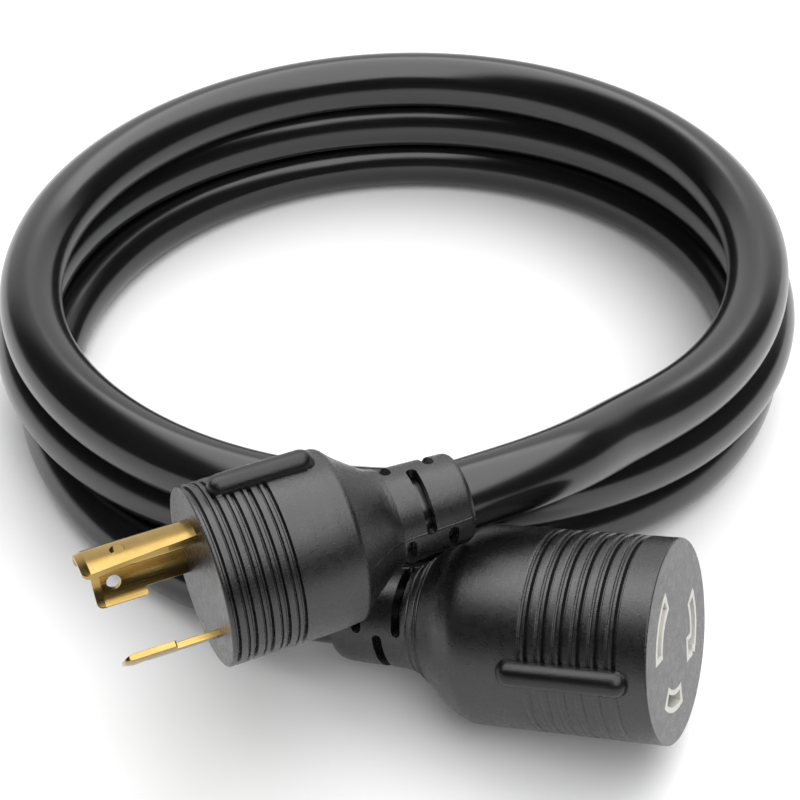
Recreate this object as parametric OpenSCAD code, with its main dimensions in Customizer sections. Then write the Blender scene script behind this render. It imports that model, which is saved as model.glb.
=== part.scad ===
// Shore power cord: one coiled three-wire cord with a moulded locking plug on one
// end and a moulded locking connector on the other. Millimetres, Z up, the coil's
// centre on the floor is the origin.

/* [Cord] */
// Outside diameter of the cord's jacket
cord_d = 15; // [12:0.5:18]
// Mean radius of the coil
coil_r = 90; // [81:1:110]
// Vertical distance from one turn of the coil to the next
turn_pitch = 15.3; // [15:0.1:20]
// Angle between two rings of the swept jacket, degrees
ring_step = 20; // [10:5:30]
// Diameter of one insulated core
core_d = 4.5; // [3.5:0.1:5]
// Diameter of the bare stranded conductor
copper_d = 2.9; // [2:0.1:3.2]

/* [Blades] */
// Diameter of the circle round the outside of the three blades
blade_circle_d = 24.8; // [24:0.1:28]
// Thickness of a blade
blade_t = 1.4; // [1.2:0.1:1.8]
// How far the grounding blade stands out of the plug's face
ground_length = 23.3; // [18:0.1:26]
// How far the two power blades stand out
power_length = 19.5; // [16:0.1:24]
// Where the locking hook of a blade begins, from the face
hook_start = 9; // [6:0.1:14]
// Diameter of the hole through a blade
blade_hole_d = 3; // [2:0.1:4]

/* [Plug body] */
// Radius of the plug's barrel
plug_r = 18.6; // [17:0.1:22]
// Length of the barrel, from the face to its shoulder
plug_barrel = 29.3; // [26:0.1:38]
// Length of the hollowed neck behind the shoulder
plug_neck = 9.7; // [8:0.1:14]
// Length of the slotted strain relief
plug_relief = 16.9; // [15:0.1:24]
// Distance from one grip rib to the next
plug_rib_pitch = 3.42; // [3:0.01:4]

/* [Connector body] */
// Radius of the connector's barrel
conn_r = 21.1; // [19.5:0.1:26]
// Length of the barrel, from the face to its shoulder
conn_barrel = 40.8; // [36:0.1:52]
// Length of the hollowed neck behind the shoulder
conn_neck = 15; // [12.5:0.1:20]
// Length of the slotted strain relief
conn_relief = 18.8; // [16.5:0.1:26]
// Distance from one grip rib to the next
conn_rib_pitch = 3.76; // [3:0.01:5]

/* [Grip] */
// Depth of the deep grooves between the ribs
groove_depth = 0.9; // [0.4:0.1:1.2]
// Radius of the raised thumb bar
bar_r = 2.8; // [1.5:0.1:3]
// Width of a slot in a strain relief
relief_slot = 2.2; // [1.5:0.1:3]

/* [Hidden] */
$fn = 64;

cord_r = cord_d / 2;
core_r = core_d / 2;
copper_r = copper_d / 2;
gap = 0.3;       // between curved faces of different pieces
slot_gap = 0.25; // round a blade or a strip in its slot

// colours of the materials
RUBBER = [0.10, 0.10, 0.11];
JACKET = [0.05, 0.05, 0.055];
NYLON = [0.90, 0.89, 0.84];
BRASS = [0.83, 0.65, 0.30];
STEEL = [0.72, 0.73, 0.75];
TIN = [0.78, 0.78, 0.76];
COPPER = [0.80, 0.45, 0.28];
GREEN = [0.10, 0.45, 0.20];
WHITE = [0.92, 0.92, 0.90];
BLACK = [0.06, 0.06, 0.06];

// ---- where the two moulded ends lie: relief end, heading, rise and roll
plug_exit = [12.6, -coil_r - 14.2, 49.4];
plug_az = 203.5;
plug_el = -1.8;
conn_exit = [-11.2, -coil_r - 10.4, 13.3];
conn_az = -20.8;
conn_el = 12.6;

plug_length = plug_barrel + plug_neck + plug_relief;
conn_length = conn_barrel + conn_neck + conn_relief;
// heights in each end's own frame: shoulder, end of the neck, end of the relief, end of the jacket
ps = -plug_barrel;
pn = ps - plug_neck;
pe = -plug_length;
plug_jacket_z = ps - 3.6;
cs = -conn_barrel;
cn = cs - conn_neck;
ce = -conn_length;
conn_jacket_z = cs - 11.8;

function heading(az, el) = [cos(el) * cos(az), cos(el) * sin(az), sin(el)];
plug_face = plug_exit + plug_length * heading(plug_az, plug_el);
conn_face = conn_exit + conn_length * heading(conn_az, conn_el);

// an end's own frame: face at z = 0, the face looks along +z, the cord leaves along -z
module place(face, az, el)
  translate(face) rotate([0, 0, az]) rotate([0, 90 - el, 0]) children();
module at_plug() place(plug_face, plug_az, plug_el) children();
module at_conn() place(conn_face, conn_az, conn_el) children();

// ---- the coil: three turns one on the other, each turn its own radius and centre
turn_r = [coil_r - 0.2, coil_r + 1.5, coil_r - 0.7];
turn_x = [0, 0.1, 2];
turn_y = [0, 4.4, 7.8];
oval_a = [0, 0.024, 0.006];
oval_b = [0.027, 0.024, 0.022];
coil_from = -40;
coil_to = 880;
side_step_at = 263;    // the cord steps from one turn to the next round this angle
side_step_half = 40;
drop_at = 282;         // and comes down one level round this one
drop_half = 63.5;

function smooth(x) = let (t = max(0, min(1, x))) t * t * (3 - 2 * t);
function steps(a, at, half, from) =
  smooth((a - at - 360 * from + half) / (2 * half)) +
  smooth((a - at - 360 * (from + 1) + half) / (2 * half)) +
  (from < 0 ? smooth((a - at - 360 * (from + 2) + half) / (2 * half)) : 0);
function mix(v, k) = k < 1 ? v[0] + (v[1] - v[0]) * k : v[1] + (v[2] - v[1]) * (k - 1);
function coil_point(a) =
  let (k = steps(a, side_step_at, side_step_half, 0),
       level = steps(a, drop_at, drop_half, -1) - 1,
       rr = mix(turn_r, k) * (1 + mix(oval_a, k) * cos(2 * a) + mix(oval_b, k) * sin(2 * a)))
  [mix(turn_x, k) + rr * cos(a), mix(turn_y, k) + rr * sin(a),
   cord_r + turn_pitch * (2 - level)];

// ---- the two leads, chosen by hand: out of the plug, and over the floor to the connector
plug_lead = [[28, -coil_r - 6.2, 49], [38, -coil_r + 1.8, 47.3], [47, -coil_r + 12.4, 44]];
floor_lead = [[-0.972, -0.211, 0], [-0.911, -0.422, 0], [-0.811, -0.611, 0], [-0.678, -0.778, 0],
              [-0.517, -0.917, 0.5], [-0.333, -1.033, 2.7]];
conn_lead = [for (q = floor_lead) [q[0] * coil_r, q[1] * coil_r, cord_r + q[2]]];

route = concat(
  [plug_exit + (plug_jacket_z - pe) * heading(plug_az, plug_el), plug_exit],
  plug_lead,
  [for (a = [coil_from : ring_step : coil_to + 0.1]) coil_point(a)],
  conn_lead,
  [conn_exit, conn_exit + (conn_jacket_z - ce) * heading(conn_az, conn_el)]);

function unit(v) = v / norm(v);
function along(p, i) =
  i == 0 ? unit(p[1] - p[0]) :
  i == len(p) - 1 ? unit(p[i] - p[i - 1]) :
  unit(unit(p[i + 1] - p[i]) + unit(p[i] - p[i - 1]));

// one closed solid swept along a list of points, never turning upright
module swept(p, r, sides = 12) {
  rings = [for (i = [0 : len(p) - 1])
    let (t = along(p, i), s = unit(cross(t, [0, 0, 1])), u = cross(s, t))
    for (k = [0 : sides - 1]) p[i] + r * (cos(360 * k / sides) * s + sin(360 * k / sides) * u)];
  last = (len(p) - 1) * sides;
  polyhedron(rings, concat(
    [[for (k = [0 : sides - 1]) k]],
    [for (i = [0 : len(p) - 2]) for (k = [0 : sides - 1])
      [i * sides + k, (i + 1) * sides + k, (i + 1) * sides + (k + 1) % sides,
       i * sides + (k + 1) % sides]],
    [[for (k = [sides - 1 : -1 : 0]) last + k]]));
}

// ---- small helpers, all in an end's own frame
// a ring sector from angle a to b
module sector(r1, r2, a, b, z1, z2)
  rotate([0, 0, a]) rotate_extrude(angle = b - a)
    translate([r1, z1]) square([r2 - r1, z2 - z1]);
// a disc or tube between two heights
module disc(r, z1, z2) translate([0, 0, z1]) cylinder(r = r, h = z2 - z1);
function polar(r, a, z) = [r * cos(a), r * sin(a), z];
// a rounded bar lying along the axis on a barrel
module bar(r_at, a, z1, z2, r) {
  for (z = [z1, z2]) translate(polar(r_at, a, z)) sphere(r = r);
  translate(polar(r_at, a, z1)) cylinder(r = r, h = z2 - z1);
}
// one groove round a barrel, its front edge at z
module groove(r, z, width, depth)
  difference() { disc(r + 2, z - width, z); disc(r - depth, z - width - 1, z + 1); }
// deep grooves at a pitch, each with a shallow one beside it: a wide rib, then a thin ridge
module grooves(r, first, pitch, count, deep_w, thin_at, thin_w, thin_from)
  for (i = [0 : count - 1]) {
    groove(r, first - i * pitch, deep_w, groove_depth);
    if (i >= thin_from) groove(r, first - i * pitch + thin_at, thin_w, groove_depth / 2);
  }
// staggered slots through the wall of a strain relief
slot_span = 45;        // half the arc of a slot
module relief_slots(rows, first_angle, r)
  for (i = [0 : len(rows) - 1], side = [0, 180])
    rotate([0, 0, first_angle + 90 * i + side])
      sector(cord_r, r + 2, -slot_span, slot_span, rows[i] - relief_slot / 2, rows[i] + relief_slot / 2);

// ---- blades: angle of the middle and half of the arc, in the plug's frame
GROUND = 0;
HOT = 1;
NEUTRAL = 2;
plug_angle = [188.3, 296.1, 50.3];
blade_half = [21.8, 19.4, 17.3];
blade_len = [ground_length, power_length, power_length];
hook_step = [0, 9.7, 8]; // how much the neck is narrower than the locking hook
blade_ro = blade_circle_d / 2;
blade_ri = blade_ro - blade_t;
hole_z = 15.2;
foot_in = 8.2;         // the grounding blade's inward foot: where it ends towards the axis,
foot_depth = 3;        // how deep it is
foot_at = 3.4;         // and how far from the blade's middle it begins
foot_set = 0.15;       // how far it stands back from the blade's two ends
skin = 2.5;            // thickness of the face over the bridge
bridge_t = 6;
bridge_r = 14.5;
strip_w = 5;
crimp_length = 8;
plug_crimp_front = ps + 2 * crimp_length + gap;
crimp_r = 2.7;
crimp_bore_r = copper_r + gap;

module blade(i) {
  a = plug_angle[i];
  h = blade_half[i];
  difference() {
    union() {
      sector(blade_ri, blade_ro, a - h, a + h - hook_step[i], -skin - bridge_t, blade_len[i]);
      if (hook_step[i] > 0) sector(blade_ri, blade_ro, a - h, a + h, hook_start, blade_len[i]);
      if (i == GROUND)
        rotate([0, 0, a]) translate([foot_in, foot_at, foot_set - skin - bridge_t])
          cube([foot_depth, blade_t, ground_length + skin + bridge_t - 2 * foot_set]);
      // strip to the crimp
      rotate([0, 0, a]) translate([blade_ri, -strip_w / 2, plug_crimp_front - crimp_length])
        cube([blade_t - 0.3, strip_w, crimp_length - plug_crimp_front - skin - bridge_t + 0.5]);
    }
    rotate([0, 0, a - hook_step[i] / 2]) translate([0, 0, hole_z]) rotate([0, 90, 0])
      cylinder(d = blade_hole_d, h = blade_ro + 2);
  }
}
// the room a blade needs where it goes through another piece
module blade_room(i, c) {
  a = plug_angle[i];
  h = blade_half[i];
  da = c / blade_ri * 180 / PI;
  sector(blade_ri - c, blade_ro + c, a - h - da, a + h - hook_step[i] + da, -skin - bridge_t - 1, 1);
  if (i == GROUND)
    rotate([0, 0, a]) translate([foot_in - c, foot_at - c, -skin - bridge_t - 1])
      cube([foot_depth + c, blade_t + 2 * c, skin + bridge_t + 2]);
}
module strip_room(a, r, t, z1, z2)
  rotate([0, 0, a]) translate([r - slot_gap, -strip_w / 2 - slot_gap, z1])
    cube([t + 2 * slot_gap, strip_w + 2 * slot_gap, z2 - z1]);

// ---- inside wiring shared by both ends
core_exit = [180, 300, 60];      // where the cores leave the jacket, plug
core_ring = 2.75;
function core_path(i, angles, exits, crimp_at, z_jacket, z_crimp) = [
  polar(core_ring, exits[i], z_jacket), polar(core_ring, exits[i], z_jacket + 1.5),
  polar(crimp_at, angles[i], z_crimp - 2.5), polar(crimp_at, angles[i], z_crimp - 0.8)];
// a core runs up its own axis, so its rings are turned by hand, not by swept()
module core(i, angles, exits, crimp_at, z_jacket, z_crimp, r) {
  p = core_path(i, angles, exits, crimp_at, z_jacket, z_crimp);
  sides = 12;
  rings = [for (q = p, k = [0 : sides - 1])
    q + [r * cos(360 * k / sides), r * sin(360 * k / sides), 0]];
  last = (len(p) - 1) * sides;
  polyhedron(rings, concat(
    [[for (k = [0 : sides - 1]) k]],
    [for (j = [0 : len(p) - 2]) for (k = [0 : sides - 1]) each [
      [j * sides + k, (j + 1) * sides + k, (j + 1) * sides + (k + 1) % sides],
      [j * sides + k, (j + 1) * sides + (k + 1) % sides, j * sides + (k + 1) % sides]]],
    [[for (k = [sides - 1 : -1 : 0]) last + k]]));
}
module crimp(a, at, z1, z2, r)
  translate(polar(at, a, z1)) difference() {
    cylinder(r = r, h = z2 - z1);
    translate([0, 0, -1]) cylinder(r = crimp_bore_r, h = z2 - z1 + 2);
  }

// ================= plug
plug_crimp_at = blade_ri - crimp_r - 0.1;
plug_crimp_z = [plug_crimp_front - crimp_length, plug_crimp_front];
plug_rows = [for (k = [0.13, 0.408, 0.686]) pn - k * plug_relief];
plug_first_row = 54;   // angle of the middle of the first row's slot
plug_groove_at = -1.95;
plug_bar_angle = 193;
plug_bar = [ps + 6.2, -7];
plug_bore_r = cord_r + gap;
plug_mould_end = plug_bore_r + 0.9; // radius of the inner mould round the jacket

module plug_outline() rotate_extrude($fn = 96) polygon([[0, 0], [plug_r - 0.9, 0],
  [plug_r - 0.3, -0.6], [plug_r, -1.9], [plug_r, ps + 9.3], [plug_r - 0.4, ps + 0.9],
  [plug_r - 0.9, ps], [plug_r - 1.9, ps - 0.1 * plug_neck], [plug_r - 4.5, ps - 0.42 * plug_neck],
  [plug_r - 5.8, ps - 0.61 * plug_neck], [cord_r + 3.9, ps - 0.81 * plug_neck],
  [cord_r + 3.1, pn], [cord_r + 2.6, pn - 4.5], [cord_r + 2, pe + 0.9], [cord_r + 1.4, pe],
  [0, pe]]);
module plug_mould_outline(c) rotate_extrude($fn = 96) polygon([[0, -skin - bridge_t],
  [bridge_r + c, -skin - bridge_t], [bridge_r + c, ps + 2.3], [plug_mould_end + 1.3 + c, ps - 3.7],
  [plug_mould_end + c, ps - 0.79 * plug_neck], [plug_mould_end + c, pn - 0.5], [0, pn - 0.5]]);

module plug_body() color(RUBBER) at_plug() difference() {
  union() {
    difference() {
      plug_outline();
      grooves(plug_r, plug_groove_at, plug_rib_pitch, 5, 0.8, 1.15, 0.35, 1);
    }
    bar(plug_r - 0.1, plug_bar_angle, plug_bar[0], plug_bar[1], bar_r);
  }
  disc(bridge_r + gap, -skin - bridge_t, -skin);
  plug_mould_outline(gap);
  disc(plug_bore_r, pe - 1, pn);
  relief_slots(plug_rows, plug_first_row, cord_r + 2.6);
  for (i = [0 : 2]) blade_room(i, slot_gap);
}
module plug_bridge() color(NYLON) at_plug() difference() {
  disc(bridge_r, -skin - bridge_t, -skin);
  for (i = [0 : 2]) blade_room(i, slot_gap);
}
module plug_cores_room(c) for (i = [0 : 2])
  core(i, plug_angle, core_exit, plug_crimp_at, plug_jacket_z, plug_crimp_z[0], core_r + c);
module plug_inner_mould() color(RUBBER) at_plug() difference() {
  plug_mould_outline(0);
  disc(plug_bore_r, pn - 1, plug_jacket_z);
  disc(core_ring + core_r + gap, plug_jacket_z - 1, plug_jacket_z + 2.5);
  plug_cores_room(slot_gap);
  for (i = [0 : 2]) {
    strip_room(plug_angle[i], blade_ri, blade_t - 0.3, plug_crimp_z[0], -skin - bridge_t + 1);
    translate(polar(plug_crimp_at, plug_angle[i], plug_crimp_z[0] - 1))
      cylinder(r = crimp_r + gap, h = crimp_length + 1.3);
  }
}
module plug_ground_blade() color(BRASS) at_plug() blade(GROUND);
module plug_hot_blade() color(BRASS) at_plug() blade(HOT);
module plug_neutral_blade() color(BRASS) at_plug() blade(NEUTRAL);
module plug_crimp_barrels() color(TIN) at_plug()
  for (i = [0 : 2]) crimp(plug_angle[i], plug_crimp_at, plug_crimp_z[0], plug_crimp_z[1], crimp_r);
module plug_core(i)
  at_plug() core(i, plug_angle, core_exit, plug_crimp_at, plug_jacket_z, plug_crimp_z[0], core_r);
module plug_ground_core() color(GREEN) plug_core(GROUND);
module plug_hot_core() color(BLACK) plug_core(HOT);
module plug_neutral_core() color(WHITE) plug_core(NEUTRAL);
module plug_copper_ends() color(COPPER) at_plug()
  for (i = [0 : 2]) translate(polar(plug_crimp_at, plug_angle[i], plug_crimp_z[0] - 0.8))
    cylinder(r = copper_r, h = crimp_length + 0.3);

// ================= connector
conn_angle = [69.4, 324.3, 217.9];
slot_half = [23.9, 20.8, 26];
slot_ro = blade_ro + 0.95;
slot_ri = blade_ri - 0.15;
collar = 1.1;          // width of the nylon round a slot
// the room for the grounding blade's foot, sideways from the middle of its slot
foot_slot = [-foot_at - blade_t - 1.3, 0.5 - foot_at];
carrier_r = 17.2;
cover_back = cs + 9.4;
carrier_back = cover_back + 3.5;
well_back = carrier_back + 2; // bottom of the contact wells
leaf_t = 0.8;
leaf_front = -5;
conn_crimp_z = [cs + 6.4 - crimp_length, cs + 6.4];
conn_strip_r = blade_ri - 0.1;
conn_crimp_at = conn_strip_r - crimp_r - 0.1;
conn_core_exit = [80, 320, 200];
conn_rows = [for (k = [0.096, 0.346, 0.596]) cn - k * conn_relief];
conn_first_row = 207;
conn_groove_at = -6.5;
conn_bar_angle = 252.8;
conn_bar = [cs + 12.2, -6.3];
conn_bore_r = cord_r + gap;
conn_mould_end = conn_bore_r + 1.1;

module conn_outline() rotate_extrude($fn = 96) polygon([[0, 0], [conn_r - 0.3, 0],
  [conn_r, -0.3], [conn_r, cs], [conn_r - 0.7, cs - 0.133 * conn_neck],
  [conn_r - 1.8, cs - 0.293 * conn_neck], [conn_r - 3.8, cs - 0.467 * conn_neck],
  [conn_r - 6.1, cs - 0.647 * conn_neck], [cord_r + 5.5, cs - 0.827 * conn_neck],
  [cord_r + 4.2, cn], [cord_r + 3.6, cn - 0.2 * conn_relief], [cord_r + 3.3, ce + 5.6],
  [cord_r + 2.9, ce + 1.6], [cord_r + 2.1, ce + 0.5], [cord_r + 1.3, ce], [0, ce]]);
module conn_mould_outline(c) rotate_extrude($fn = 96) polygon([[0, cover_back],
  [carrier_r + c, cover_back], [carrier_r + c, cs - 1.6],
  [conn_mould_end + 2.4 + c, cs - 0.64 * conn_neck], [conn_mould_end + c, cs - 0.88 * conn_neck],
  [conn_mould_end + c, cn - 0.4], [0, cn - 0.4]]);
// the arc of a slot, grown by c, with the foot of the grounding slot
module slot_arc(i, c, z1, z2) {
  da = c / slot_ri * 180 / PI;
  sector(slot_ri - c, slot_ro + c, conn_angle[i] - slot_half[i] - da,
         conn_angle[i] + slot_half[i] + da, z1, z2);
  if (i == GROUND)
    rotate([0, 0, conn_angle[i]]) translate([foot_in - gap - c, foot_slot[0] - c, z1])
      cube([foot_depth + c, foot_slot[1] - foot_slot[0] + 2 * c, z2 - z1]);
}
module connector_body() color(RUBBER) at_conn() difference() {
  union() {
    difference() {
      conn_outline();
      grooves(conn_r, conn_groove_at, conn_rib_pitch, 6, 0.6, -1.6, 0.4, 0);
    }
    bar(conn_r - 0.3, conn_bar_angle, conn_bar[0], conn_bar[1], bar_r);
  }
  disc(carrier_r + gap, cover_back, -skin);
  conn_mould_outline(gap);
  disc(conn_bore_r, ce - 1, cn);
  relief_slots(conn_rows, conn_first_row, cord_r + 3.9);
  for (i = [0 : 2]) slot_arc(i, collar + slot_gap, -skin - 1, 1);
}
// white nylon: the contact carrier with a collar round each slot, flush with the face
module connector_face_insert() color(NYLON) at_conn() difference() {
  union() {
    disc(carrier_r, carrier_back, -skin);
    for (i = [0 : 2]) slot_arc(i, collar, -skin - 0.5, 0);
  }
  for (i = [0 : 2]) {
    slot_arc(i, 0, i == GROUND ? -ground_length - 1 : -6, 1);
    contact_well(i);
  }
}
module contact_well(i)
  sector(slot_ri - 1.5, slot_ro + 2.3, conn_angle[i] - slot_half[i] - 3, conn_angle[i] + slot_half[i] + 3,
         carrier_back - 1, -4.2);
module connector_rear_cover() color(NYLON) at_conn() difference() {
  disc(carrier_r, cover_back, carrier_back);
  for (i = [0 : 2]) strip_room(conn_angle[i], conn_strip_r, leaf_t, cover_back - 1, carrier_back + 1);
}
// a contact: two spring leaves gripping the blade, a base and a strip to the crimp
module contact(i) {
  a1 = conn_angle[i] - slot_half[i] + (i == GROUND ? 9 : 4); // clear of the foot
  a2 = conn_angle[i] + slot_half[i] - 4;
  sector(slot_ri - 1.2, slot_ri - 1.2 + leaf_t, a1, a2, well_back, leaf_front);
  sector(slot_ro + 0.4, slot_ro + 0.4 + leaf_t, a1, a2, well_back, leaf_front);
  sector(slot_ri - 1.2, slot_ro + 0.4 + leaf_t, a1, a2, well_back - leaf_t, well_back);
  rotate([0, 0, conn_angle[i]]) translate([conn_strip_r, -strip_w / 2, conn_crimp_z[0]])
    cube([leaf_t, strip_w, well_back - 0.4 - conn_crimp_z[0]]);
}
module connector_ground_contact() color(BRASS) at_conn() contact(GROUND);
module connector_hot_contact() color(BRASS) at_conn() contact(HOT);
module connector_neutral_contact() color(BRASS) at_conn() contact(NEUTRAL);
// a steel spring behind the outer leaf of each contact
module connector_contact_springs() color(STEEL) at_conn() for (i = [0 : 2])
  sector(slot_ro + 0.4 + leaf_t + 0.1, slot_ro + 0.4 + leaf_t + 0.6, conn_angle[i] - slot_half[i] + 8,
         conn_angle[i] + slot_half[i] - 8, well_back, leaf_front - 2);
module connector_crimp_barrels() color(TIN) at_conn()
  for (i = [0 : 2]) crimp(conn_angle[i], conn_crimp_at, conn_crimp_z[0], conn_crimp_z[1], crimp_r);
module conn_core(i, c = 0)
  core(i, conn_angle, conn_core_exit, conn_crimp_at, conn_jacket_z, conn_crimp_z[0], core_r + c);
module connector_inner_mould() color(RUBBER) at_conn() difference() {
  conn_mould_outline(0);
  disc(conn_bore_r, cn - 1, conn_jacket_z);
  disc(core_ring + core_r + gap, conn_jacket_z - 1, conn_jacket_z + 2.5);
  for (i = [0 : 2]) {
    conn_core(i, slot_gap);
    strip_room(conn_angle[i], conn_strip_r, leaf_t, conn_crimp_z[0], cover_back + 1);
    translate(polar(conn_crimp_at, conn_angle[i], conn_crimp_z[0] - 1))
      cylinder(r = crimp_r + gap, h = crimp_length + 1.3);
  }
}
module connector_ground_core() color(GREEN) at_conn() conn_core(GROUND);
module connector_hot_core() color(BLACK) at_conn() conn_core(HOT);
module connector_neutral_core() color(WHITE) at_conn() conn_core(NEUTRAL);
module connector_copper_ends() color(COPPER) at_conn()
  for (i = [0 : 2]) translate(polar(conn_crimp_at, conn_angle[i], conn_crimp_z[0] - 0.8))
    cylinder(r = copper_r, h = crimp_length + 0.3);

// ================= cord
module cord_jacket() color(JACKET) swept(route, cord_r);

cord_jacket();
plug_body();
plug_bridge();
plug_inner_mould();
plug_ground_blade();
plug_neutral_blade();
plug_hot_blade();
plug_crimp_barrels();
plug_ground_core();
plug_neutral_core();
plug_hot_core();
plug_copper_ends();
connector_body();
connector_face_insert();
connector_rear_cover();
connector_inner_mould();
connector_ground_contact();
connector_neutral_contact();
connector_hot_contact();
connector_contact_springs();
connector_crimp_barrels();
connector_ground_core();
connector_neutral_core();
connector_hot_core();
connector_copper_ends();
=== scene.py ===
"""Looks of the shore power cord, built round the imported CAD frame. Metres, in the CAD's own frame;
the tables of the two moulded ends are in millimetres, as part.scad has them."""

import math

import bmesh
import bpy
import numpy as np
from mathutils import Matrix, Vector


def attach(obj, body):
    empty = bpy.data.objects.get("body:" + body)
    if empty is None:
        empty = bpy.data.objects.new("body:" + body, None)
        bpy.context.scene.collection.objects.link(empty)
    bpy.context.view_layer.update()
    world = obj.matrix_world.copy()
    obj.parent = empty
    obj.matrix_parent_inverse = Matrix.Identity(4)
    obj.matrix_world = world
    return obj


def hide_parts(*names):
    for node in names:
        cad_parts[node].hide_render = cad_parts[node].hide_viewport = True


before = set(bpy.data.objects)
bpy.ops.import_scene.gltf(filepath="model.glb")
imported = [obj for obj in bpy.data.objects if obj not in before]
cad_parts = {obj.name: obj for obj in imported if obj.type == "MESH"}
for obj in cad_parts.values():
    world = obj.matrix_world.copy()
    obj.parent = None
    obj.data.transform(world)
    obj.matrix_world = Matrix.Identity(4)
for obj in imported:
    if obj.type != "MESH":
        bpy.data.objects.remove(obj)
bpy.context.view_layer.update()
MM = 0.001

# ---------------------------------------------------------------- camera
LENS, SENSOR = 90.0, 36.0
CAMERA_AT = (0.0007, -0.4146, 0.3194)
CAMERA_DOWN = 38.26

camera = bpy.data.objects.new("camera", bpy.data.cameras.new("camera"))
camera.data.lens = LENS
camera.data.sensor_width = SENSOR
camera.data.clip_start = 0.01
camera.location = CAMERA_AT
camera.rotation_euler = (math.radians(90 - CAMERA_DOWN), 0, 0)
bpy.context.collection.objects.link(camera)
bpy.context.scene.camera = camera


# ---------------------------------------------------------------- mesh helpers
def mesh_object(name, verts, faces):
    mesh = bpy.data.meshes.new(name)
    mesh.from_pydata([tuple(v) for v in verts], [], [tuple(f) for f in faces])
    mesh.validate()
    obj = bpy.data.objects.new(name, mesh)
    bpy.context.collection.objects.link(obj)
    return obj


def outward(obj):
    """Makes the normals of a closed mesh look outward."""
    bm = bmesh.new()
    bm.from_mesh(obj.data)
    bmesh.ops.recalc_face_normals(bm, faces=bm.faces)
    bm.to_mesh(obj.data)
    bm.free()


def bake(obj):
    """Applies the object's modifiers."""
    graph = bpy.context.evaluated_depsgraph_get()
    mesh = bpy.data.meshes.new_from_object(obj.evaluated_get(graph))
    obj.modifiers.clear()
    obj.data = mesh


def boolean(obj, cutter, how="DIFFERENCE"):
    m = obj.modifiers.new("cut", "BOOLEAN")
    m.operation = how
    m.solver = "EXACT"
    m.object = cutter
    bake(obj)
    bpy.data.objects.remove(cutter)


def join(parts, name):
    """Several separate closed meshes as one object."""
    verts, faces = [], []
    for o in parts:
        start = len(verts)
        verts += [v.co.copy() for v in o.data.vertices]
        faces += [[start + i for i in p.vertices] for p in o.data.polygons]
        bpy.data.objects.remove(o)
    return mesh_object(name, verts, faces)


def smooth(obj, angle=38, weighted=True):
    obj.data.shade_smooth()
    obj.data.set_sharp_from_angle(angle=math.radians(angle))
    if weighted:
        m = obj.modifiers.new("weighted", "WEIGHTED_NORMAL")
        m.keep_sharp = True
        m.weight = 50


# ---------------------------------------------------------------- where the two ends lie
def heading(az, el):
    a, e = math.radians(az), math.radians(el)
    return np.array((math.cos(e) * math.cos(a), math.cos(e) * math.sin(a), math.sin(e)))


PLUG_EXIT = np.array((12.6, -104.2, 49.4))
PLUG_AZ, PLUG_EL = 203.5, -1.8
PLUG_R, PLUG_LENGTH = 18.6, 55.9
CONN_EXIT = np.array((-11.2, -100.4, 13.3))
CONN_AZ, CONN_EL = -20.8, 12.6
CONN_R, CONN_LENGTH = 21.1, 74.6
PLUG_DIR = heading(PLUG_AZ, PLUG_EL)
CONN_DIR = heading(CONN_AZ, CONN_EL)


def end_matrix(face, az, el):
    """From an end's own frame in millimetres, its face at z 0 looking along +z, to the row frame."""
    turn = Matrix.Rotation(math.radians(az), 4, "Z") @ Matrix.Rotation(math.radians(90 - el), 4, "Y")
    return Matrix.Translation(Vector(face * MM)) @ turn @ Matrix.Scale(MM, 4)


AT_PLUG = end_matrix(PLUG_EXIT + PLUG_LENGTH * PLUG_DIR, PLUG_AZ, PLUG_EL)
AT_CONN = end_matrix(CONN_EXIT + CONN_LENGTH * CONN_DIR, CONN_AZ, CONN_EL)

# ---------------------------------------------------------------- the cord
CORD_D = 15.0
CORD_R = CORD_D / 2
PITCH = 15.3
COIL_R = 90.0
# Each turn passes to the next round TURN_AT, and drops a level round LEVEL_AT (angle, half width).
TURN_AT, LEVEL_AT = (263, 40), (282, 63.5)
# For each turn: radius, shift in x and in y, and how oval it is along the axes and their diagonals.
TURN_R = (COIL_R - 0.2, COIL_R + 1.5, COIL_R - 0.7)
TURN_X = (0.0, 0.1, 2.0)
TURN_Y = (0.0, 4.4, 7.8)
OVAL_A = (0.0, 0.024, 0.006)
OVAL_B = (0.027, 0.024, 0.022)
PLUG_LEAD = [(28, -96.2, 49), (38, -88.2, 47.3), (47, -77.6, 44)]
FLOOR_LEAD = [(-0.972, -0.211, 0), (-0.911, -0.422, 0), (-0.811, -0.611, 0), (-0.678, -0.778, 0),
              (-0.517, -0.917, 0.5), (-0.333, -1.033, 2.7)]
CONN_LEAD = [(x * COIL_R, y * COIL_R, CORD_R + z) for x, y, z in FLOOR_LEAD]
IN_PLUG, IN_CONN = 23.0, 22.0
STRAIGHT = (12, 4, -4)
COIL_ANGLES = range(-40, 881, 20)
LINE_STEP, CORD_SIDES = 2.5, 56


def ease(x):
    """0 before 0, 1 after 1, and smooth between."""
    x = min(1.0, max(0.0, x))
    return x * x * (3 - 2 * x)


def steps(a, at, half, first):
    """How many times angle a has passed at, counted smoothly, from turn number first on."""
    last = first + (2 if first < 0 else 1)
    return sum(ease((a - at - 360 * k + half) / (2 * half)) for k in range(first, last + 1))


def mixed(values, k):
    """The value of turn k, also between turns."""
    i = 0 if k < 1 else 1
    return values[i] + (values[i + 1] - values[i]) * (k - i)


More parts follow.
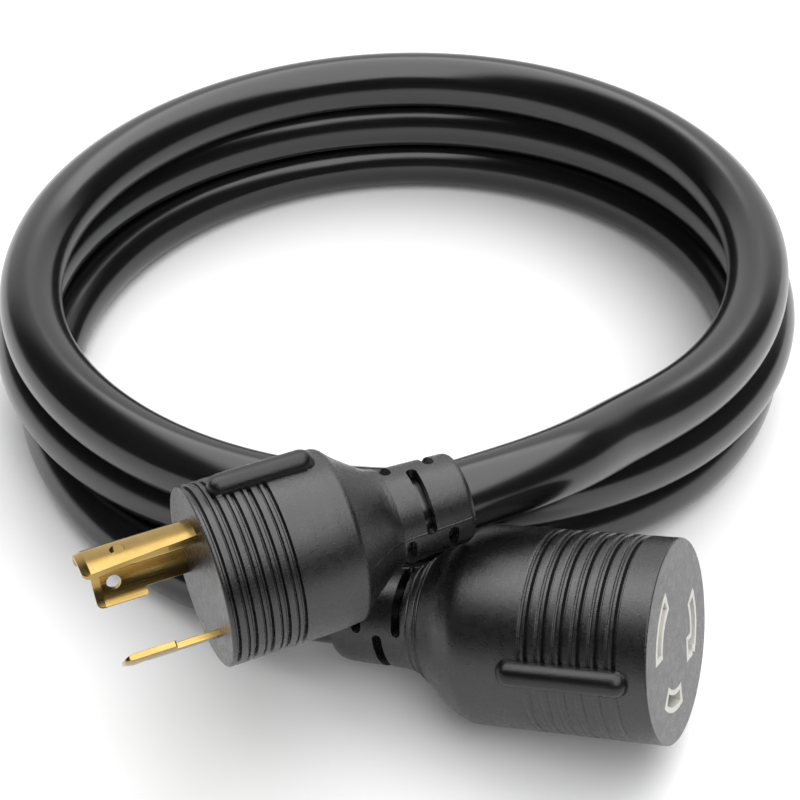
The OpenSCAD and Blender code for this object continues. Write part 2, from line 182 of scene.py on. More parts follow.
def coil_point(a):
    """A point of the coil. The angle runs on over its turns, from the top one down."""
    k = steps(a, *TURN_AT, 0)
    level = steps(a, *LEVEL_AT, -1) - 1
    t = math.radians(a)
    r = mixed(TURN_R, k) * (1 + mixed(OVAL_A, k) * math.cos(2 * t) + mixed(OVAL_B, k) * math.sin(2 * t))
    return (mixed(TURN_X, k) + r * math.cos(t), mixed(TURN_Y, k) + r * math.sin(t),
            CORD_R + PITCH * (2 - level))


def smooth_line(points, first, last, step):
    """One curve with continuous bend through the points, as points a step apart."""
    p = np.array(points, float)
    h = np.linalg.norm(np.diff(p, axis=0), axis=1)
    n = len(p)
    a, b = np.zeros((n, n)), np.zeros((n, 3))
    a[0, 0] = a[-1, -1] = 1
    b[0], b[-1] = first, last
    for i in range(1, n - 1):
        a[i, i - 1], a[i, i], a[i, i + 1] = h[i], 2 * (h[i - 1] + h[i]), h[i - 1]
        b[i] = 3 * (h[i] * (p[i] - p[i - 1]) / h[i - 1] + h[i - 1] * (p[i + 1] - p[i]) / h[i])
    m = np.linalg.solve(a, b)
    out = []
    for i in range(n - 1):
        count = max(1, int(round(h[i] / step)))
        for k in range(count):
            t = k / count
            out.append((2 * t**3 - 3 * t**2 + 1) * p[i] + (t**3 - 2 * t**2 + t) * h[i] * m[i]
                       + (3 * t**2 - 2 * t**3) * p[i + 1] + (t**3 - t**2) * h[i] * m[i + 1])
    return np.array(out + [p[-1]])


route = ([PLUG_EXIT + d * PLUG_DIR for d in (IN_PLUG, *STRAIGHT)] + PLUG_LEAD
         + [coil_point(a) for a in COIL_ANGLES] + CONN_LEAD
         + [CONN_EXIT + d * CONN_DIR for d in (*STRAIGHT[::-1], IN_CONN)])
centre = smooth_line(route, -PLUG_DIR, CONN_DIR, LINE_STEP) * MM


def tube(name, line, radius, sides):
    """A tube with round ends on a line. Attribute flow runs with it: two numbers round, one along."""
    tangent = np.gradient(line, axis=0)
    tangent /= np.linalg.norm(tangent, axis=1)[:, None]
    side = np.cross(tangent[0], (0, 0, 1))
    side /= np.linalg.norm(side)
    along = np.r_[0, np.cumsum(np.linalg.norm(np.diff(line, axis=0), axis=1))]
    verts, flow = [], []
    for i, p in enumerate(line):
        side = side - tangent[i] * np.dot(side, tangent[i])
        side /= np.linalg.norm(side)
        up = np.cross(tangent[i], side)
        for k in range(sides):
            t = 2 * math.pi * k / sides
            verts.append(p + radius * (math.cos(t) * side + math.sin(t) * up))
            flow.append((radius * math.cos(t), radius * math.sin(t), along[i]))
    faces = [(i * sides + k, i * sides + (k + 1) % sides, (i + 1) * sides + (k + 1) % sides,
              (i + 1) * sides + k) for i in range(len(line) - 1) for k in range(sides)]
    last = (len(line) - 1) * sides
    faces.append(list(range(sides - 1, -1, -1)))
    faces.append([last + k for k in range(sides)])
    obj = mesh_object(name, verts, faces)
    attribute = obj.data.attributes.new("flow", "FLOAT_VECTOR", "POINT")
    attribute.data.foreach_set("vector", np.array(flow, np.float32).ravel())
    smooth(obj, 60, False)
    return obj


cord = tube("cord_sheath", centre, CORD_R * MM, CORD_SIDES)


# ---------------------------------------------------------------- the moulded ends
def ribbed(outline, grooves):
    """The outline from the face back, with soft-edged grooves cut in: (middle, floor, wall, depth)."""
    line, spans = [], []
    for at, floor, wall, depth in grooves:
        r = float(np.interp(-at, [-z for _, z in outline], [r for r, _ in outline]))
        reach = floor / 2 + wall
        side = [(reach - wall * k, r - depth * ease(k)) for k in np.linspace(0, 1, 8)]
        line += [(at + x, q) for x, q in side] + [(at - x, q) for x, q in side[::-1]]
        spans.append((at - reach, at + reach))
    line += [(z, r) for r, z in outline if not any(a - 0.01 < z < b + 0.01 for a, b in spans)]
    return sorted(line, key=lambda m: -m[0])


def bar_rows(front, back, own):
    """Heights at which a raised bar needs rows: close together where its round ends curve and just
    beyond them, and then on along the plain barrel, so that its shading stays even."""
    ends = np.concatenate([own * np.sin(np.radians(BAR_END_ANGLES)), own + np.array(PAST_BAR)])
    middle = np.arange(front - BAR_STEP, back, -BAR_STEP)
    plain = np.arange(back - own - PAST_BAR[-1] - 1.0, PLAIN_END, -PLAIN_STEP)
    return [*(front + ends), *middle, *(back - ends), *plain]


def with_rows(line, heights):
    """The line with points added at the heights, but not right beside one that it has."""
    z, r = np.array(line).T
    extra = [(q, float(np.interp(-q, -z, r))) for q in heights
             if np.min(abs(z - q)) > SAME_ROW]
    return sorted(line + extra, key=lambda m: -m[0])


def lathe(name, outer, inner, angles, bar, seams, fade=None):
    """A closed shell: outer (z, r) from the face back, then inner (z, r) forward to the axis. bar is
    (angle, front, back, centre radius, own radius): a rounded bar raised on the outer surface. seams is
    (angles, front, back): thin parting lines. fade is (radius, back, share at each angle): how much of
    the ribs' depth is left round the barrel of that radius, from its face back."""
    at, front, back, br, own = bar
    outer = with_rows(outer, bar_rows(front, back, own))
    rows = [(0.0, 0.0, False)] + [(z, r, True) for z, r in outer]
    rows += [(z, r, False) for z, r in inner] + [(inner[-1][0], 0.0, False)]
    t = np.radians(angles)
    n = len(angles)
    verts, first = [], []
    for z, r, raised in rows:
        first.append(len(verts))
        if r == 0:
            verts.append((0, 0, z))
            continue
        rad = np.full(n, r)
        if fade and raised and z > fade[1]:
            rad = fade[0] + (r - fade[0]) * fade[2]
        gap = max(0.0, z - front, back - z)
        if raised and gap < own:
            d = (t - math.radians(at) + math.pi) % (2 * math.pi) - math.pi
            inside = own * own - gap * gap - (br * np.sin(d)) ** 2
            lift = np.where((inside > 0) & (abs(d) < 1), br * np.cos(d) + np.sqrt(np.maximum(inside, 0)), 0)
            h = np.maximum(BAR_BLEND - abs(rad - lift), 0) / BAR_BLEND
            rad = np.maximum(rad, lift) + h * h * BAR_BLEND / 4
        if raised and seams[2] <= z <= seams[1]:
            for a in seams[0]:
                d = (t - math.radians(a) + math.pi) % (2 * math.pi) - math.pi
                rad = rad + SEAM_HEIGHT * np.exp(-(d * r / SEAM_WIDTH) ** 2)
        verts += list(zip(rad * np.cos(t), rad * np.sin(t), np.full(n, z)))
    faces = []
    for i in range(len(rows) - 1):
        a, b = first[i], first[i + 1]
        for k in range(n):
            k2 = (k + 1) % n
            if rows[i][1] == 0:
                faces.append((a, b + k, b + k2))
            elif rows[i + 1][1] == 0:
                faces.append((a + k, b, a + k2))
            else:
                faces.append((a + k, b + k, b + k2, a + k2))
    obj = mesh_object(name, verts, faces)
    outward(obj)
    return obj


def round_angles(at, seams):
    """Angles round a barrel: 2 degrees apart, and gradually closer towards a bar and the seams."""
    near = [(at, 11.0, 0.4)] + [(a, 3.0, 0.5) for a in seams]
    out, a = [], 0.0
    while a < 360:
        out.append(a)
        away = [max(0.0, abs((a - c + 180) % 360 - 180) - half) for c, half, _ in near]
        a += min([2.0] + [step + 0.2 * d for d, (_, _, step) in zip(away, near)])
    return np.array(out) * 360 / a


def wedge(columns, r_in, r_out):
    """A closed solid from columns of (angle, low z, high z) between two radii; a column may be a point."""
    verts, idx = [], []
    for a, lo, hi in columns:
        t = math.radians(a)
        row = []
        for z in ([lo] if hi - lo < 1e-6 else [lo, hi]):
            for r in (r_in, r_out):
                row.append(len(verts))
                verts.append((r * math.cos(t), r * math.sin(t), z))
        idx.append(row if len(row) == 4 else row * 2)
    faces = []
    for a, b in zip(idx, idx[1:]):
        for q in ((a[0], a[1], b[1], b[0]), (a[3], a[2], b[2], b[3]), (a[2], a[0], b[0], b[2]),
                  (a[1], a[3], b[3], b[1])):
            faces.append(list(dict.fromkeys(q)))
    for e in (idx[0], idx[-1]):
        if len(set(e)) == 4:
            faces.append((e[0], e[1], e[3], e[2]))
    obj = mesh_object("wedge", verts, [f for f in faces if len(f) > 2])
    outward(obj)
    return obj


def arc_block(r1, r2, a, b, z1, z2):
    cols = np.linspace(a, b, max(2, int(abs(b - a) / 2.0) + 1))
    return wedge([(x, z1, z2) for x in cols], r1, r2)


def round_slot(angle, half, z, width, r_at, r_in, r_out):
    """A slot round a barrel with round ends."""
    e = width / 2
    per = math.degrees(1 / r_at)
    end = [(half - e * per + e * per * math.sin(s), e * math.cos(s))
           for s in np.linspace(0, math.pi / 2, 8)]
    flat = [(x, e) for x in np.linspace(0, end[0][0], 14)[:-1]]
    right = flat + end
    cols = [(-x, w) for x, w in right[:0:-1]] + right
    return wedge([(angle + x, z - (w if w > 1e-4 else 0), z + (w if w > 1e-4 else 0)) for x, w in cols],
                 r_in, r_out)


def block(at, angle, x1, x2, y1, y2, z1, z2):
    """A box in the frame turned by angle about the axis."""
    c, s = math.cos(math.radians(angle)), math.sin(math.radians(angle))
    verts = [(x * c - y * s, x * s + y * c, z) for z in (z1, z2) for y in (y1, y2) for x in (x1, x2)]
    faces = [(0, 2, 3, 1), (4, 5, 7, 6), (0, 1, 5, 4), (2, 6, 7, 3), (0, 4, 6, 2), (1, 3, 7, 5)]
    return mesh_object(at, verts, faces)


BAR_OWN, BAR_BLEND, BAR_STEP = 2.8, 0.35, 0.9
BAR_END_ANGLES, PAST_BAR = np.arange(0, 91, 7.5), (0.1, 0.3, 0.8)
PLAIN_STEP, PLAIN_END = 1.5, -39.0
SAME_ROW = 0.02
# A bar: angle, front and back of its middle, radius of its centre line, own radius.
PLUG_BAR = (191, -7, -23.6, PLUG_R - 0.1, BAR_OWN)
CONN_BAR = (253.5, -6.6, -28.6, CONN_R - 0.3, BAR_OWN)
PLUG_SEAMS, CONN_SEAMS = (193 - 90, 193 + 90), (252.8 - 90, 252.8 + 90)
SEAM_HEIGHT, SEAM_WIDTH = 0.16, 0.16
SLOT_HALF = 45
RELIEF_SLOT = 2.2
BLADE_RO, BLADE_T = 12.4, 1.4
BLADE_RI = BLADE_RO - BLADE_T
BLADES = {"ground": (188.3, 21.8, 23.3), "hot": (296.1, 19.4, 19.5), "neutral": (50.3, 17.3, 19.5)}
BLADE_ROOT = -8.5
HOOK_START = 9.0
HOOK_STEP = {"ground": 0, "hot": 9.7, "neutral": 8}
HOLE_Z, HOLE_R = 15.2, 1.5
FOOT_FROM, FOOT_DEEP, FOOT_AT, BEND_R = 8.2, 3.0, 3.4, 2.0
# The grounding blade's slanting side, outside and inside: heights, and the angle at each.
SLANT_OUTSIDE, SLANT_INSIDE = ((0, 22.5), (175, 166.5)), ((13, 21), (170, 165.5))
SLANT_ROWS = (6, 13, 17, 21)
TIP_R, TIP_BEVEL, TIP_THINNER, EDGE_R = 1.3, 1.6, 0.4, 0.18
TAIL_HALF, TAIL = 2.5, (-21, -8.0)
CONN_SLOTS = {"ground": (69.4, 23.9), "hot": (324.3, 20.8), "neutral": (217.9, 26)}
SLOT_RO, SLOT_RI, COLLAR = BLADE_RO + 0.95, BLADE_RI - 0.15, 1.13
FOOT_SLOT = (-FOOT_AT - BLADE_T - 1.3, 0.5 - FOOT_AT)


def in_place(obj, matrix):
    obj.data.transform(matrix)
    return obj


def relief_cutters(rows, first_angle, r_at):
    return [round_slot(first_angle + 90 * i + side, SLOT_HALF, z, RELIEF_SLOT, r_at, RELIEF_IN, r_at + 4)
            for i, z in enumerate(rows) for side in (0, 180)]


RELIEF_IN = 6.4
FACE_CUT = (-4, 1)
PLUG_OUTLINE = [
    (18.1, 0), (18.3, -0.06), (18.48, -0.2), (18.58, -0.42), (18.6, -0.6), (18.6, -20), (18.45, -25),
    (18.15, -28.4), (17.95, -29.0), (17.6, -29.45), (16.7, -30.3), (15.35, -31.8), (14.1, -33.4),
    (12.8, -35.2), (11.9, -36.4), (11.3, -37.4), (10.85, -38.4), (10.6, -39.3), (10.52, -39.6),
    (10.2, -39.75), (10.12, -41.5), (9.95, -45), (9.75, -49.7), (9.5, -54.6), (9.45, -55.0),
    (9.3, -55.4), (9.0, -55.75), (8.75, -55.9)]
PLUG_INSIDE = [(-55.9, 7.8), (-39.5, 7.8), (-39.5, 9.0), (-37, 9.0), (-33, 10.3), (-27, 14.8),
               (-2.5, 14.8)]
PLUG_GROOVES = ([(-1.35 - 3.42 * i, 0.3, 0.36, 0.9) for i in range(5)]
                + [(-3.37 - 3.42 * i, 0.1, 0.26, 0.5) for i in range(4)])
PLUG_RELIEF = ((-41.2, -45.9, -50.6), 54, 10)
CONN_OUTLINE = [
    (20.75, 0), (20.95, -0.08), (21.08, -0.25), (21.1, -0.4), (21.1, -39.9), (21.0, -41.2),
    (20.75, -42.2), (20.4, -42.9), (19.3, -45.2), (18.4, -46.5), (17.3, -47.8), (16.2, -49.1),
    (15.0, -50.5), (14.2, -51.5), (13.6, -52.3), (12.9, -53.3), (12.25, -54.4), (11.8, -55.4),
    (11.5, -56.4), (11.25, -57.9), (11.1, -59.6), (10.95, -64.4), (10.8, -69.0), (10.7, -71.2),
    (10.55, -72.3), (10.3, -73.1), (9.9, -73.8), (9.3, -74.3), (8.7, -74.6)]
CONN_INSIDE = [(-74.6, 7.8), (-56.2, 7.8), (-56.2, 9.2), (-54, 9.2), (-50.4, 11.6), (-42.4, 17.5),
               (-2.5, 17.5)]
CONN_GROOVES = ([(-6.6 - 3.66 * i, 0.25, 0.4, 0.85) for i in range(6)]
                + [(-8.05 - 3.66 * i, 0.1, 0.42, 0.32) for i in range(6)]
                + [(z, 0.1, 0.2, 0.1) for z in (-51.8, -53.0, -54.9)])
CONN_RELIEF = ((-57.6, -62.3, -67.0), 207, 11)
# Below its bar the connector's ribs are only faint, as far back as RIBS_END.
FAINT, FAINT_START, FAINT_END, RIBS_END = 0.75, 8, 20, -39


def make_plug_body():
    body = lathe("plug_overmould", ribbed(PLUG_OUTLINE, PLUG_GROOVES), PLUG_INSIDE,
                 round_angles(PLUG_BAR[0], PLUG_SEAMS), PLUG_BAR, (PLUG_SEAMS, -31, -55.6))
    cutters = relief_cutters(*PLUG_RELIEF)
    cutters += [blade_solid(kind, *FACE_CUT, 0.04) for kind in BLADES]
    boolean(body, join(cutters, "cutters"))
    return in_place(body, AT_PLUG)


def rib_share(b):
    """How much of the ribs' depth is left at an angle from the bar, counted downward."""
    if b < 90:
        return 1 - FAINT * ease((b + FAINT_START / 2) / FAINT_START)
    return 1 - FAINT * ease((180 - b) / FAINT_END)


def make_conn_body():
    angles = round_angles(CONN_BAR[0], CONN_SEAMS)
    share = np.array([rib_share(b) for b in (angles - CONN_BAR[0] + 180) % 360 - 180])
    body = lathe("connector_overmould", ribbed(CONN_OUTLINE, CONN_GROOVES), CONN_INSIDE, angles,
                 CONN_BAR, (CONN_SEAMS, -43, -74.2), (CONN_R, RIBS_END, share))
    cutters = relief_cutters(*CONN_RELIEF)
    round_collar = math.degrees(COLLAR / SLOT_RI)
    for a, h in CONN_SLOTS.values():
        cutters.append(arc_block(SLOT_RI - COLLAR, SLOT_RO + COLLAR, a - h - round_collar,
                                 a + h + round_collar, *FACE_CUT))
    boolean(body, join(cutters, "cutters"))
    foot_end = FOOT_FROM - 0.3
    boolean(body, block("foot", CONN_SLOTS["ground"][0], foot_end - COLLAR, foot_end + FOOT_DEEP,
                        FOOT_SLOT[0] - COLLAR, FOOT_SLOT[1] + COLLAR, *FACE_CUT))
    return in_place(body, AT_CONN)


def rounded(points, corners, r):
    """The outline with its corners of those numbers rounded, as four points each."""
    out = []
    p = np.array(points)
    for i, q in enumerate(p):
        if i not in corners:
            out.append(q)
            continue
        a, b = p[i - 1] - q, p[(i + 1) % len(p)] - q
        a, b = q + a / np.linalg.norm(a) * r, q + b / np.linalg.norm(b) * r
        out += [(1 - t) ** 2 * a + 2 * t * (1 - t) * q + t * t * b for t in (0, 0.25, 0.5, 0.75, 1)]
    return out


def on_arc(r, angles):
    return [(r * math.cos(math.radians(a)), r * math.sin(math.radians(a))) for a in angles]


def strip_outline(low, top, r_in, r_out):
    """Outline of a curved strip between two angles."""
    angles = np.linspace(low, top, 21)
    return rounded(on_arc(r_out, angles) + on_arc(r_in, angles[::-1]), (0, 20, 21, 41), EDGE_R)


def foot_outline(low_out, low_in, r_in, r_out, foot_from):
    """Outline of the grounding blade: a curved strip that bends inward to a flat foot."""
    turn = BLADES["ground"][0]
    cy = FOOT_AT + BLADE_T - BEND_R
    reach = BLADE_RO - BEND_R
    cx = math.sqrt(reach**2 - cy**2)
    bend = math.degrees(math.atan2(cy, cx))

    def side(r, low):
        curve = [(cx + x, cy + y) for x, y in on_arc(r - reach, np.linspace(bend, 90, 9)[1:])]
        return on_arc(r, np.linspace(low - turn, bend, 17)) + curve + [(foot_from, cy + r - reach)]

    outer = side(r_out, low_out)
    last = len(outer) - 1
    points = rounded(outer + side(r_in, low_in)[::-1], (0, last, last + 1, 2 * last + 1), EDGE_R)
    c, s = math.cos(math.radians(turn)), math.sin(math.radians(turn))
    return [(x * c - y * s, x * s + y * c) for x, y in points]


def loft(name, sections):
    """A closed solid through (height, outline), each outline with as many points."""
    n = len(sections[0][1])
    verts = [(x, y, z) for z, line in sections for x, y in line]
    faces = [(i * n + k, i * n + (k + 1) % n, (i + 1) * n + (k + 1) % n, (i + 1) * n + k)
             for i in range(len(sections) - 1) for k in range(n)]
    faces += [list(range(n - 1, -1, -1)), list(range((len(sections) - 1) * n, len(sections) * n))]
    obj = mesh_object(name, verts, faces)
    outward(obj)
    return obj


def blade_outline(kind, z, inset=0.0, thinner=0.0, hook=None, grow=0.0):
    """A blade's outline at a height. inset is taken off both ends of the arc, in millimetres."""
    a, h, _ = BLADES[kind]
    per = math.degrees(1 / BLADE_RO)
    r_in, r_out = BLADE_RI + thinner - grow, BLADE_RO - thinner + grow
    cut = (inset - grow) * per
    if kind == "ground":
        low_out = np.interp(z, *SLANT_OUTSIDE) + cut
        low_in = np.interp(z, *SLANT_INSIDE) + cut
        return foot_outline(low_out, low_in, r_in, r_out, FOOT_FROM + inset - grow)
    top = a + h - HOOK_STEP[kind] if hook is None else a + h - hook * per
    return strip_outline(a - h + cut, top - cut, r_in, r_out)


def blade_solid(kind, z1, z2, grow):
    """A straight piece of the blade's root, to cut its way through the body."""
    return loft("way", [(z, blade_outline(kind, 0, grow=grow)) for z in (z1, z2)])


def make_blade(kind):
    length = BLADES[kind][2]
    hook = None if kind == "ground" else 0.0
    rows = [(BLADE_ROOT, blade_outline(kind, 0)), (0, blade_outline(kind, 0))]
    if hook is None:
        rows += [(z, blade_outline(kind, z)) for z in SLANT_ROWS]
    else:
        rows += [(HOOK_START, blade_outline(kind, 0))]
        rows += [(HOOK_START + up, blade_outline(kind, 0, hook=left))
                 for up, left in ((0.01, 0.3), (0.09, 0.09), (0.3, 0.0))]
    rows.append((length - TIP_BEVEL, blade_outline(kind, length - TIP_BEVEL, hook=hook)))
    for s in np.radians(range(0, 91, 15)):
        z = length - TIP_R + TIP_R * math.sin(s)
        thinner = TIP_THINNER * (z - length + TIP_BEVEL) / TIP_BEVEL
        rows.append((z, blade_outline(kind, z, TIP_R * (1 - math.cos(s)), thinner, hook)))
    plate = loft(kind + "_blade", rows)
    a = BLADES[kind][0]
    tail = block("strip", a, BLADE_RI, BLADE_RO - 0.3, -TAIL_HALF, TAIL_HALF, *TAIL)
    boolean(plate, tail, "UNION")
    hole = mesh_object("hole", *cylinder(HOLE_R, 4, 16, 48))
    hole.data.transform(Matrix.Rotation(math.radians(a - HOOK_STEP[kind] / 2), 4, "Z")
                        @ Matrix.Translation((0, 0, HOLE_Z))
                        @ Matrix.Rotation(math.radians(90), 4, "Y"))
    boolean(plate, hole)
    return in_place(plate, AT_PLUG)


def cylinder(r, z1, z2, sides):
    ring = [(r * math.cos(2 * math.pi * k / sides), r * math.sin(2 * math.pi * k / sides))
            for k in range(sides)]
    verts = [(x, y, z) for z in (z1, z2) for x, y in ring]
    faces = [(k, (k + 1) % sides, sides + (k + 1) % sides, sides + k) for k in range(sides)]
    faces += [list(range(sides - 1, -1, -1)), list(range(sides, 2 * sides))]
    return verts, faces


plug_body = make_plug_body()
conn_body = make_conn_body()
blades = [make_blade(k) for k in BLADES]


# ---------------------------------------------------------------- materials
def material(name):
    m = bpy.data.materials.new(name)
    m.use_nodes = True
    tree = m.node_tree
    shader = tree.nodes["Principled BSDF"]
    return m, tree, shader


def node(tree, kind, **values):
    n = tree.nodes.new(kind)
    for k, v in values.items():
        key = k.replace("_", " ")
        if k.startswith("set_"):
            setattr(n, k[4:], v)
        elif k.startswith("in") and k[2:].isdigit():
            n.inputs[int(k[2:])].default_value = v
        else:
            n.inputs[key].default_value = v
    return n


def noise(tree, coords, scale, detail=3.0, rough=0.55):
    n = node(tree, "ShaderNodeTexNoise", Scale=scale, Detail=detail, Roughness=rough)
    tree.links.new(coords, n.inputs["Vector"])
    return n.outputs["Fac"]


def spread(tree, value, low, high, start=0.3, end=0.7):
    n = node(tree, "ShaderNodeMapRange", in1=start, in2=end, in3=low, in4=high)
    tree.links.new(value, n.inputs[0])
    return n.outputs[0]


def blend_colour(tree, value, a, b):
    n = tree.nodes.new("ShaderNodeMix")
    n.data_type = "RGBA"
    n.inputs[6].default_value = (*a, 1)
    n.inputs[7].default_value = (*b, 1)
    tree.links.new(value, n.inputs[0])
    return n.outputs[2]


def bump(tree, shader, value, strength, distance, before=None):
    n = node(tree, "ShaderNodeBump", Strength=strength, Distance=distance)
    tree.links.new(value, n.inputs["Height"])
    if before is not None:
        tree.links.new(before, n.inputs["Normal"])
    tree.links.new(n.outputs["Normal"], shader.inputs["Normal"])
    return n.outputs["Normal"]


def object_coords(tree):
    return tree.nodes.new("ShaderNodeTexCoord").outputs["Object"]


def near_bar(tree, where, start, end):
    """1 on the raised bar whose centre line runs from start to end, and 0 away from it."""
    way = (end - start).normalized()
    out = node(tree, "ShaderNodeVectorMath", set_operation="SUBTRACT")
    tree.links.new(where, out.inputs[0])
    out.inputs[1].default_value = start
    along = node(tree, "ShaderNodeVectorMath", set_operation="DOT_PRODUCT")
    tree.links.new(out.outputs[0], along.inputs[0])
    along.inputs[1].default_value = way
    length = (end - start).length
    axis = node(tree, "ShaderNodeVectorMath", set_operation="SCALE")
    axis.inputs[0].default_value = way
    tree.links.new(spread(tree, along.outputs["Value"], 0, length, 0, length), axis.inputs["Scale"])
    away = node(tree, "ShaderNodeVectorMath", set_operation="DISTANCE")
    tree.links.new(out.outputs[0], away.inputs[0])
    tree.links.new(axis.outputs[0], away.inputs[1])
    return spread(tree, away.outputs["Value"], 1, 0, BAR_OWN * MM, (BAR_OWN + BAR_BLEND) * MM)


def bar_line(matrix, bar):
    """Both ends of a bar's centre line, in the row frame."""
    angle, front, back, radius, _ = bar
    t = math.radians(angle)
    return [matrix @ Vector((radius * math.cos(t), radius * math.sin(t), z)) for z in (front, back)]


def moulded(name, dark, light, rough, grain, grain_scale, spec=0.5, wave=0.04, bars=()):
    """Moulded rubber or plastic: fine grain, faint mottling, and small dull scuffs. bars are the
    centre lines of two raised bars, which are smoother and shine less."""
    m, tree, shader = material(name)
    where = object_coords(tree)
    mottle = spread(tree, noise(tree, where, 70, 4), 0, 1)
    tree.links.new(blend_colour(tree, mottle, dark, light), shader.inputs["Base Color"])
    scuff = spread(tree, noise(tree, where, 420, 6, 0.7), rough - 0.05, rough + 0.07, 0.35, 0.7)
    shader.inputs["Specular IOR Level"].default_value = spec
    if bars:
        first, second = [near_bar(tree, where, *line) for line in bars]
        either = node(tree, "ShaderNodeMath", set_operation="MAXIMUM")
        tree.links.new(first, either.inputs[0])
        tree.links.new(second, either.inputs[1])
        worn = node(tree, "ShaderNodeMath", set_operation="MULTIPLY_ADD")
        tree.links.new(either.outputs[0], worn.inputs[0])
        worn.inputs[1].default_value = BAR_ROUGH - rough
        tree.links.new(scuff, worn.inputs[2])
        scuff = worn.outputs[0]
        tree.links.new(spread(tree, either.outputs[0], spec, BAR_SPEC, 0, 1),
                       shader.inputs["Specular IOR Level"])
    tree.links.new(scuff, shader.inputs["Roughness"])
    fine = bump(tree, shader, noise(tree, where, grain_scale, 2, 0.6), grain, 0.0002)
    bump(tree, shader, noise(tree, where, 110, 2), wave, 0.0003, fine)
    return m


def jacket_material():
    """Extruded PVC: smooth and half glossy, with faint lines along it and slight waviness."""
    m, tree, shader = material("pvc_jacket")
    flow = node(tree, "ShaderNodeAttribute", set_attribute_name="flow")
    stretch = node(tree, "ShaderNodeVectorMath", set_operation="MULTIPLY")
    stretch.inputs[1].default_value = (1, 1, 0.03)
    tree.links.new(flow.outputs["Vector"], stretch.inputs[0])
    lines = stretch.outputs[0]
    tint = spread(tree, noise(tree, flow.outputs["Vector"], 30, 3), 0, 1)
    tree.links.new(blend_colour(tree, tint, (0.0045, 0.0045, 0.005), (0.008, 0.008, 0.0085)),
                   shader.inputs["Base Color"])
    tree.links.new(spread(tree, noise(tree, lines, 500, 4), 0.17, 0.24), shader.inputs["Roughness"])
    shader.inputs["Specular IOR Level"].default_value = 0.65
    fine = bump(tree, shader, noise(tree, lines, 900, 2), 0.12, 0.0001)
    bump(tree, shader, noise(tree, flow.outputs["Vector"], 45, 1), 0.25, 0.0008, fine)
    return m


def metal(name, dark, light, rough, grain=(60, 60, 2500), strength=0.1):
    """Rolled sheet metal: fine brushed lines, tint and dulling that vary."""
    m, tree, shader = material(name)
    where = object_coords(tree)
    shader.inputs["Metallic"].default_value = 1
    tint = spread(tree, noise(tree, where, 160, 4), 0, 1)
    tree.links.new(blend_colour(tree, tint, dark, light), shader.inputs["Base Color"])
    stretch = node(tree, "ShaderNodeVectorMath", set_operation="MULTIPLY")
    stretch.inputs[1].default_value = grain
    tree.links.new(where, stretch.inputs[0])
    brushed = noise(tree, stretch.outputs[0], 1.0, 4, 0.7)
    tree.links.new(spread(tree, brushed, rough - 0.06, rough + 0.08), shader.inputs["Roughness"])
    bump(tree, shader, brushed, strength, 0.0001)
    return m


BAR_ROUGH, BAR_SPEC = 0.17, 0.4
RUBBER = moulded("rubber", (0.005, 0.005, 0.0055), (0.008, 0.008, 0.0085), 0.28, 0.4, 3600, 0.7, 0.0,
                 (bar_line(AT_PLUG, PLUG_BAR), bar_line(AT_CONN, CONN_BAR)))
FILL = moulded("inner_rubber", (0.03, 0.03, 0.03), (0.05, 0.05, 0.05), 0.6, 0.2, 1800)
NYLON = moulded("nylon", (0.54, 0.53, 0.49), (0.61, 0.60, 0.56), 0.42, 0.1, 2000)
JACKET = jacket_material()
BRASS = metal("brass", (0.33, 0.22, 0.07), (0.42, 0.29, 0.10), 0.22)
SPRING = metal("spring_steel", (0.52, 0.53, 0.55), (0.62, 0.63, 0.65), 0.3)
TINNED = metal("tinned", (0.66, 0.65, 0.62), (0.76, 0.75, 0.72), 0.35)
COPPER = metal("copper", (0.72, 0.36, 0.2), (0.82, 0.44, 0.27), 0.32, (1500, 1500, 1500))
GREEN = moulded("core_green", (0.03, 0.2, 0.07), (0.05, 0.26, 0.1), 0.38, 0.08, 1500)
BLACK = moulded("core_black", (0.02, 0.02, 0.02), (0.035, 0.035, 0.035), 0.38, 0.08, 1500)
WHITE = moulded("core_white", (0.72, 0.72, 0.70), (0.82, 0.82, 0.80), 0.38, 0.08, 1500)

CARRIED = {
    "plug_bridge": NYLON, "plug_inner_mould": FILL, "plug_crimp_barrels": TINNED,
    "plug_ground_core": GREEN, "plug_neutral_core": WHITE, "plug_hot_core": BLACK,
    "plug_copper_ends": COPPER, "connector_face_insert": NYLON, "connector_rear_cover": NYLON,
    "connector_inner_mould": FILL, "connector_ground_contact": BRASS, "connector_neutral_contact": BRASS,
    "connector_hot_contact": BRASS, "connector_contact_springs": SPRING, "connector_crimp_barrels": TINNED,
    "connector_ground_core": GREEN, "connector_neutral_core": WHITE, "connector_hot_core": BLACK,
    "connector_copper_ends": COPPER,
}


def dress(obj, mat):
    obj.data.materials.clear()
    obj.data.materials.append(mat)


for name, mat in CARRIED.items():
    dress(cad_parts[name], mat)


def finish_piece(obj, mat, replaced):
    dress(obj, mat)
    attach(obj, "root")
    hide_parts(replaced)


for obj in (plug_body, conn_body):
    smooth(obj)
for obj in blades:
    smooth(obj, 12)
finish_piece(plug_body, RUBBER, "plug_body")
finish_piece(conn_body, RUBBER, "connector_body")
for obj, kind in zip(blades, BLADES):
    finish_piece(obj, BRASS, "plug_" + kind + "_blade")
finish_piece(cord, JACKET, "cord_jacket")


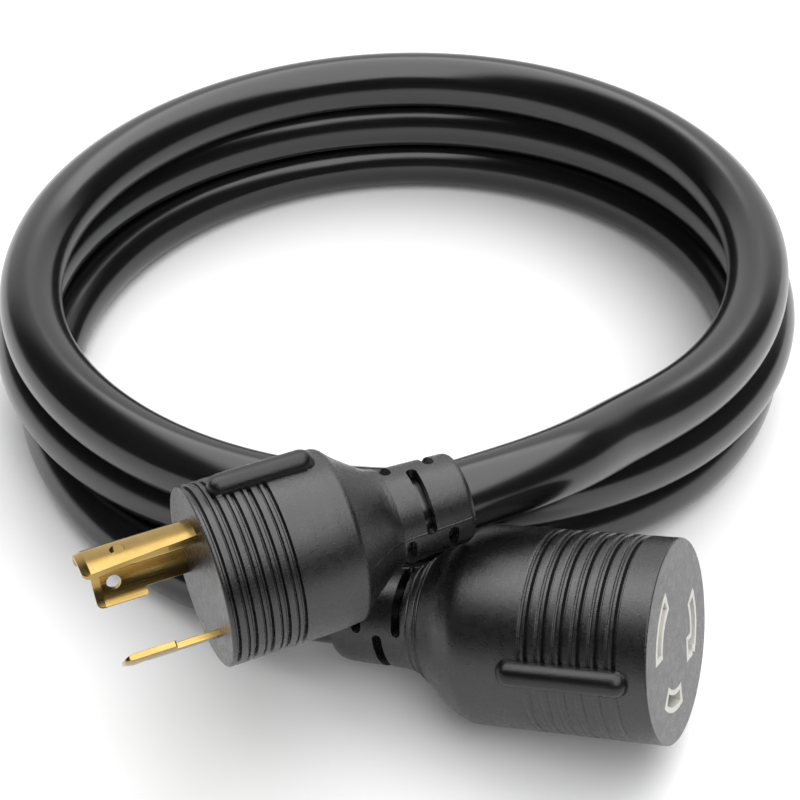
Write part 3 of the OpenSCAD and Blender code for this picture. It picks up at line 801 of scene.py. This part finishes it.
# ---------------------------------------------------------------- floor and light
def stage_floor():
    corners = [(-FLOOR_HALF, -FLOOR_HALF, 0), (FLOOR_HALF, -FLOOR_HALF, 0),
               (FLOOR_HALF, FLOOR_HALF, 0), (-FLOOR_HALF, FLOOR_HALF, 0)]
    floor = mesh_object("floor", corners, [(0, 1, 2, 3)])
    m, tree, shader = material("floor_white")
    shader.inputs["Base Color"].default_value = (0.92, 0.92, 0.92, 1)
    shader.inputs["Roughness"].default_value = 0.75
    shader.inputs["Emission Color"].default_value = (1, 1, 1, 1)
    shader.inputs["Emission Strength"].default_value = 0.08
    dress(floor, m)


def math_node(tree, operation, a, b=0.0):
    n = node(tree, "ShaderNodeMath", set_operation=operation)
    for socket, value in zip(n.inputs, (a, b)):
        if isinstance(value, float):
            socket.default_value = value
        else:
            tree.links.new(value, socket)
    return n.outputs[0]


def soft_step(tree, value, start, end):
    """0 before start, 1 after end; the other way round where start is the larger."""
    flip = start > end
    ends = (end, start) if flip else (start, end)
    n = node(tree, "ShaderNodeMapRange", in1=ends[0], in2=ends[1], in3=float(flip), in4=float(not flip))
    n.interpolation_type = "SMOOTHSTEP"
    tree.links.new(value, n.inputs[0])
    return n.outputs[0]


def studio_light():
    """White light from far away: a wide softbox overhead, bounded by its edges as shares of its height,
    and a paler wall behind. The sides are dark."""
    world = bpy.data.worlds.new("studio")
    world.use_nodes = True
    tree = world.node_tree
    parts = tree.nodes.new("ShaderNodeSeparateXYZ")
    tree.links.new(tree.nodes.new("ShaderNodeTexCoord").outputs["Generated"], parts.inputs[0])
    x, y, z = parts.outputs
    box = soft_step(tree, z, 0.0, 0.05)
    for part, (low, high) in ((x, SOFTBOX_X), (y, SOFTBOX_Y)):
        share = math_node(tree, "DIVIDE", part, z)
        box = math_node(tree, "MULTIPLY", box, soft_step(tree, share, low - EDGE, low + EDGE))
        box = math_node(tree, "MULTIPLY", box, soft_step(tree, share, high + EDGE, high - EDGE))
    wall = soft_step(tree, y, *WALL_FROM_TO)
    light = math_node(tree, "MULTIPLY", box, SOFTBOX_LIGHT)
    light = math_node(tree, "ADD", light, math_node(tree, "MULTIPLY", wall, WALL_LIGHT))
    light = math_node(tree, "ADD", light, SIDE_LIGHT)
    tree.links.new(light, tree.nodes["Background"].inputs["Strength"])
    tree.nodes["Background"].inputs["Color"].default_value = (1, 1, 1, 1)
    bpy.context.scene.world = world


def side_light(name, az, el, size, radiance, lit):
    """A square softbox at the side that lights only the moulded ends."""
    light = bpy.data.lights.new(name, "AREA")
    light.shape = "SQUARE"
    light.size = size
    light.energy = radiance * math.pi * size * size
    obj = bpy.data.objects.new(name, light)
    away = Vector(heading(az, el))
    obj.location = Vector(SIDE_AIM) + away * SIDE_AWAY
    obj.rotation_euler = away.to_track_quat("Z", "Y").to_euler()
    obj.visible_camera = False
    bpy.context.collection.objects.link(obj)
    ends = bpy.data.collections.new(name + "_lights")
    for piece in lit:
        ends.objects.link(piece)
    obj.light_linking.receiver_collection = ends


SIDE_AIM, SIDE_AWAY = (0, -0.12, 0.04), 1.5
FLOOR_HALF = 6.0
SOFTBOX_X, SOFTBOX_Y, EDGE = (-0.3, 0.95), (-1.25, 1.2), 0.12
WALL_FROM_TO = (0.5, 0.85)
SOFTBOX_LIGHT, WALL_LIGHT, SIDE_LIGHT = 3.0, 1.0, 0.03
stage_floor()
studio_light()
side_light("left_softbox", 155, 52, 1.2, 3.6, (plug_body, conn_body))
bpy.context.scene.view_settings.view_transform = "Standard"

bpy.context.view_layer.update()
